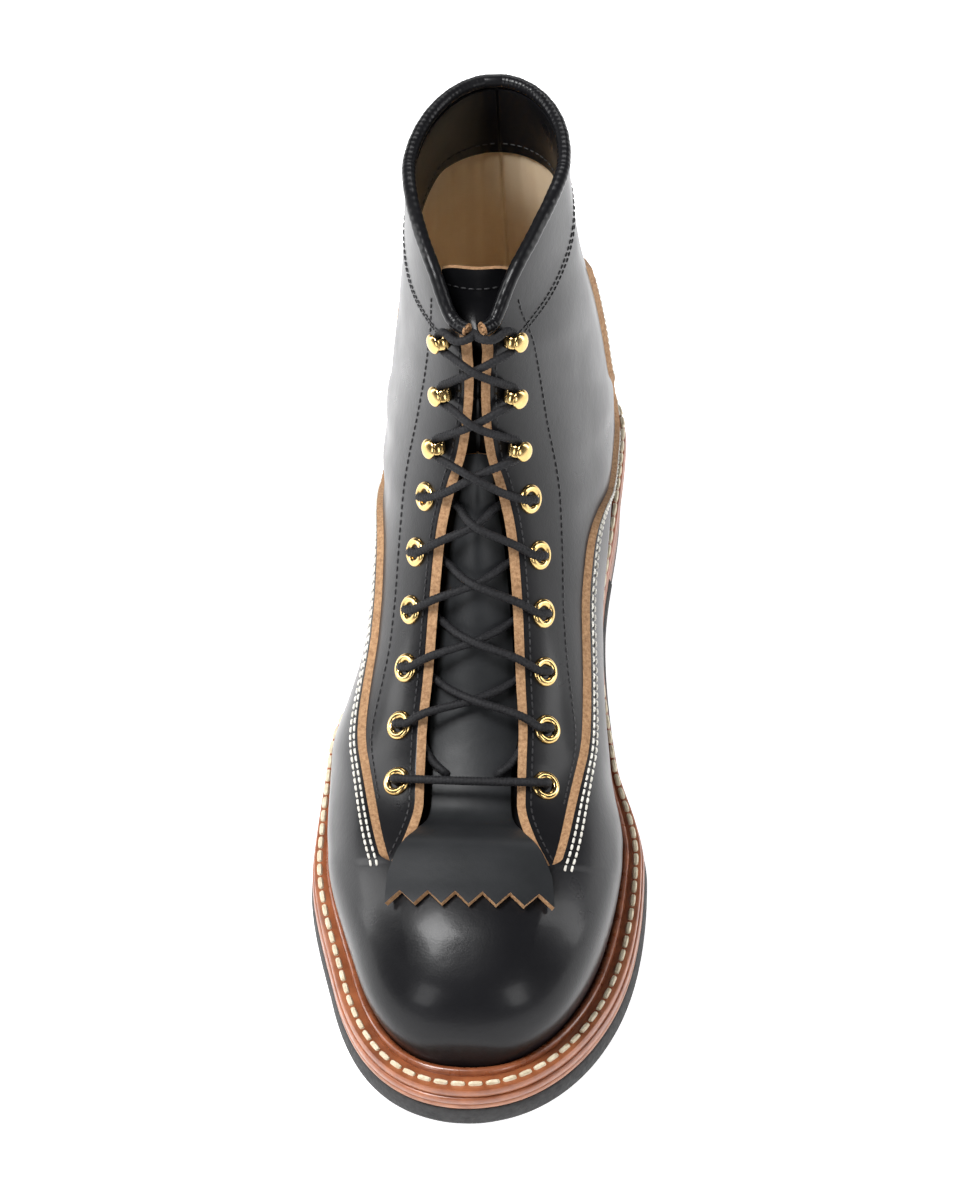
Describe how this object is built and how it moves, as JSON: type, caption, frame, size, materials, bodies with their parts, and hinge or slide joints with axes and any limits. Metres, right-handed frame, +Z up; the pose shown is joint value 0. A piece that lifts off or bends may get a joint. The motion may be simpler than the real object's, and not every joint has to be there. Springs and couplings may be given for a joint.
{
  "type": "logger boot",
  "caption": "Right-foot lace-up logger boot: leather upper with kiltie, rolled collar, stitched welt, rubber tread and high stacked heel.",
  "frame": {"origin": "centre of the heel's tread face, on the floor", "axes": "+Z up, toe towards -Y, +X is the medial side"},
  "size_m": [0.1149, 0.3054, 0.2038],
  "materials": {
    "black_leather": "oiled, soft sheen",
    "brown_leather": "waxed edge",
    "tan_leather": "raw, matte",
    "rubber": "matte, fine grain",
    "brass": "polished",
    "waxed_cord": "braided, waxed"
  },
  "bodies": {
    "root": {"upper": "black_leather", "tongue": "black_leather", "kiltie": "black_leather", "collar_binding": "black_leather", "insole": "tan_leather", "welt": "brown_leather", "midsole": "brown_leather", "heel_stack": "brown_leather", "outsole": "rubber", "top_lift": "rubber", "lace": "waxed_cord", "lace_bar": "waxed_cord", "eyelet_lateral_1": "brass", "eyelet_lateral_2": "brass", "eyelet_lateral_3": "brass", "eyelet_lateral_4": "brass", "eyelet_lateral_5": "brass", "eyelet_lateral_6": "brass", "hook_lateral_1": "brass", "hook_lateral_2": "brass", "hook_lateral_3": "brass", "eyelet_medial_1": "brass", "eyelet_medial_2": "brass", "eyelet_medial_3": "brass", "eyelet_medial_4": "brass", "eyelet_medial_5": "brass", "eyelet_medial_6": "brass", "hook_medial_1": "brass", "hook_medial_2": "brass", "hook_medial_3": "brass"}
  },
  "joints": []
}
